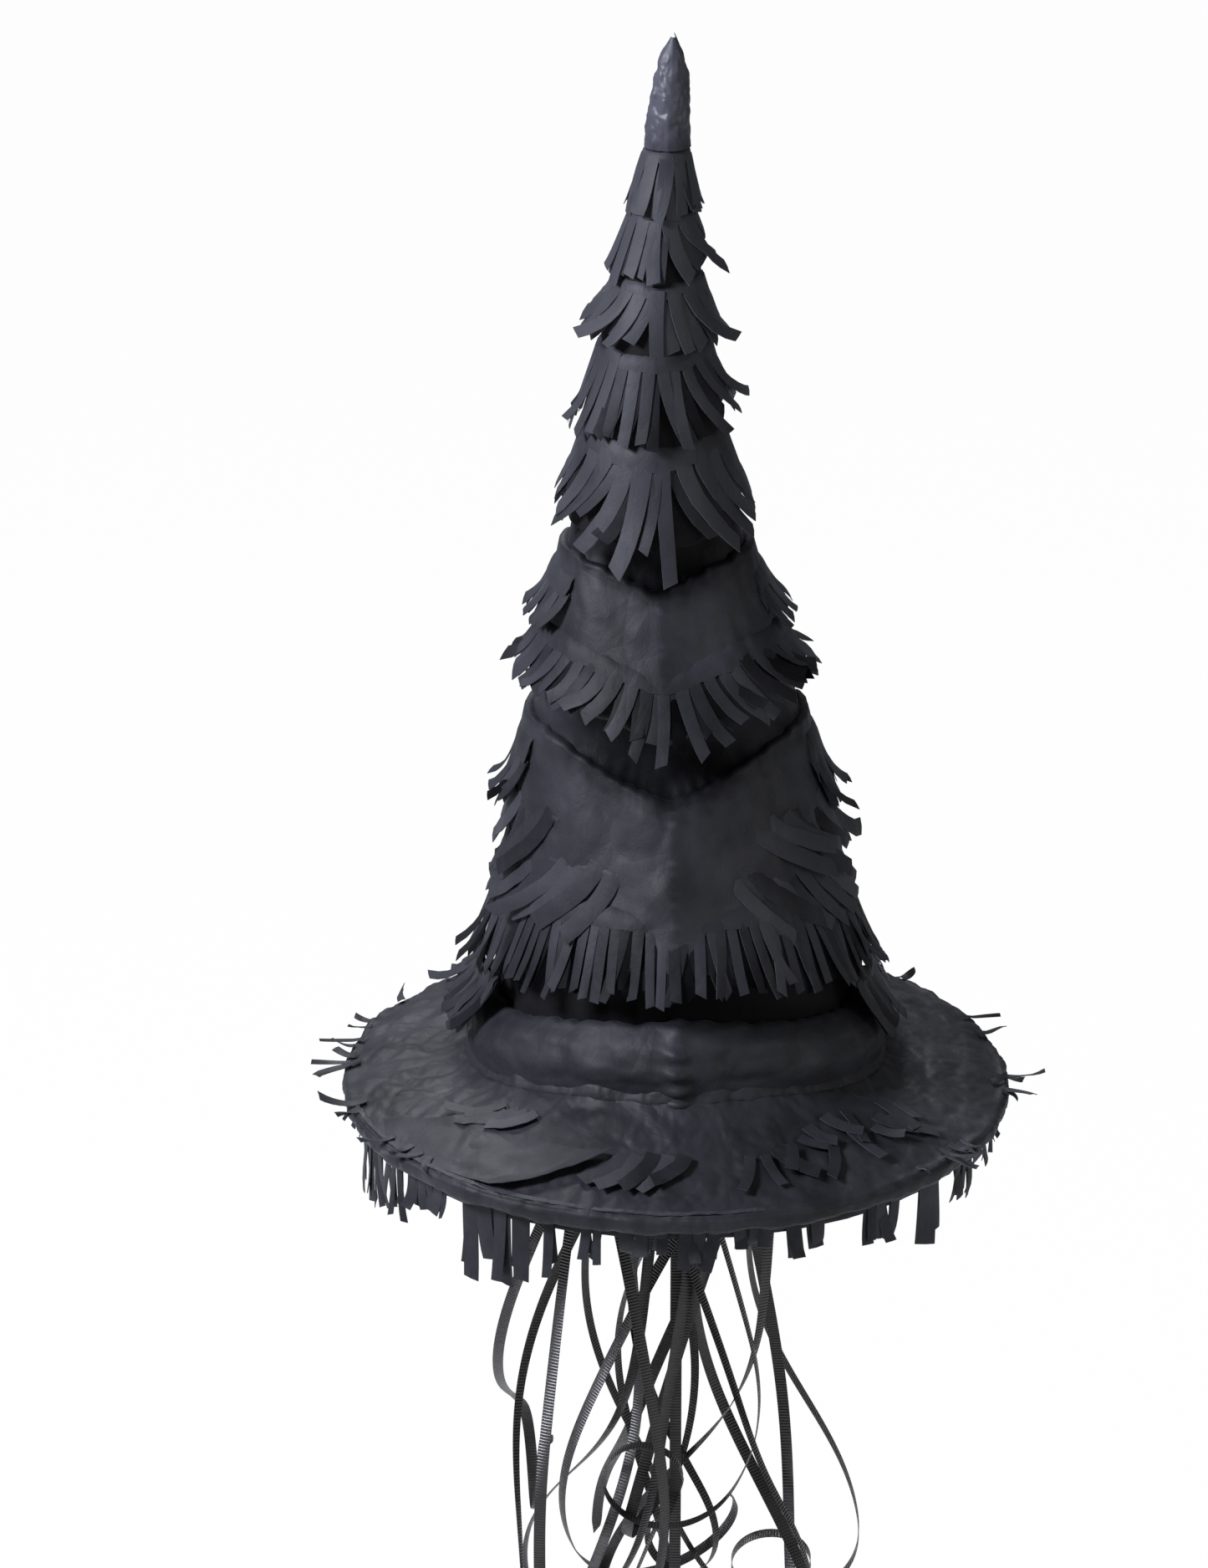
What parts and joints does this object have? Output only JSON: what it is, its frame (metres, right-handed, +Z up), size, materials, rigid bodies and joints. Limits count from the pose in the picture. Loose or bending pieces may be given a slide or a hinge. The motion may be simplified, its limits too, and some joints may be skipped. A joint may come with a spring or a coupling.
{
  "type": "witch hat",
  "caption": "Hanging paper witch hat, a pull-ribbon party pinata: fringed card crown and brim, a trap door with hanging ribbons in its base, a fill flap behind and a hanging loop.",
  "frame": {"origin": "on the axis of the round base board, level with the ends of the longest ribbons, 330 mm under the board", "axes": "+Z up along the hat towards its tip, -Y towards the front, where the crown's crease and the ribbons are, +X to the right of someone who looks at the front"},
  "size_m": [0.332, 0.3184, 0.845],
  "materials": {
    "black_tissue": "matte crinkled black tissue and crepe paper with a faint blue sheen",
    "wrap_paper": "smooth black paper, slightly glossy, creased",
    "card": "plain brown corrugated card",
    "ribbon": "glossy ribbed curling ribbon",
    "cord": "twisted black cord",
    "wood": "plain dowel"
  },
  "bodies": {
    "hat": {"base_board": "card", "brim_board": "card", "crown_collar": "card", "crown_neck_lower": "card", "crown_neck_middle": "card", "crown_neck_upper": "card", "lower_crown": "card", "middle_crown": "card", "upper_crown": "card", "door_ledge_left": "card", "door_ledge_right": "card", "brim_under_tissue": "black_tissue", "brim_top_tissue": "black_tissue", "collar_tissue": "black_tissue", "middle_crown_tissue": "black_tissue", "lower_crown_tissue": "black_tissue", "crown_fringe_01": "black_tissue", "crown_fringe_02": "black_tissue", "crown_fringe_03": "black_tissue", "crown_fringe_04": "black_tissue", "crown_fringe_05": "black_tissue", "crown_fringe_06": "black_tissue", "crown_fringe_07": "black_tissue", "crown_fringe_08": "black_tissue", "crown_fringe_09_left": "black_tissue", "crown_fringe_09_right": "black_tissue", "crown_fringe_10": "black_tissue", "crown_fringe_11": "black_tissue", "brim_fringe_left": "black_tissue", "brim_fringe_front": "black_tissue", "brim_fringe_right": "black_tissue", "brim_edge_fringe_left": "black_tissue", "brim_edge_fringe_right": "black_tissue", "brim_skirt_fringe": "black_tissue", "tip_wrap": "wrap_paper", "door_hinge_tape": "wrap_paper", "door_seal_tape": "wrap_paper", "anchor_bar": "wood", "hanging_cord": "cord"},
    "trap_door": {"trap_door": "card", "trap_door_tissue": "black_tissue", "ribbon_header_tape": "wrap_paper"},
    "ribbon_header": {"ribbon_header_cord": "cord", "release_ribbon": "ribbon"},
    "ribbons": {"ribbon_01": "ribbon", "ribbon_02": "ribbon", "ribbon_03": "ribbon", "ribbon_04": "ribbon", "ribbon_05": "ribbon", "ribbon_06": "ribbon", "ribbon_07": "ribbon", "ribbon_08": "ribbon", "ribbon_09": "ribbon", "ribbon_10": "ribbon"},
    "fill_hatch": {"fill_hatch": "card", "fill_hatch_tissue": "black_tissue", "fill_hatch_fringe": "black_tissue"},
    "hanging_loop": {"hanging_loop": "cord"}
  },
  "joints": [
    {"name": "trap_door_hinge", "type": "hinge", "parent": "hat", "child": "trap_door", "pos_m": [0, 0.0515, 0.3292], "axis": [1, 0, 0], "range_deg": [0, 100]},
    {"name": "ribbon_plumb", "type": "hinge", "parent": "trap_door", "child": "ribbon_header", "pos_m": [0, -0.0525, 0.3242], "axis": [1, 0, 0], "range_deg": [-100, 0]},
    {"name": "ribbon_sway", "type": "hinge", "parent": "ribbon_header", "child": "ribbons", "pos_m": [0, -0.0525, 0.3242], "axis": [1, 0, 0], "range_deg": [-20, 20]},
    {"name": "fill_hatch_hinge", "type": "hinge", "parent": "hat", "child": "fill_hatch", "pos_m": [0, 0.0705, 0.4956], "axis": [1, 0, 0], "range_deg": [0, 95]},
    {"name": "hanging_loop_hinge", "type": "hinge", "parent": "hat", "child": "hanging_loop", "pos_m": [-0.0043, 0.0094, 0.828], "axis": [1, 0, 0], "range_deg": [0, 160]}
  ],
  "couplings": [
    {"joint": "ribbon_plumb", "follows": "trap_door_hinge", "ratio": -1}
  ]
}
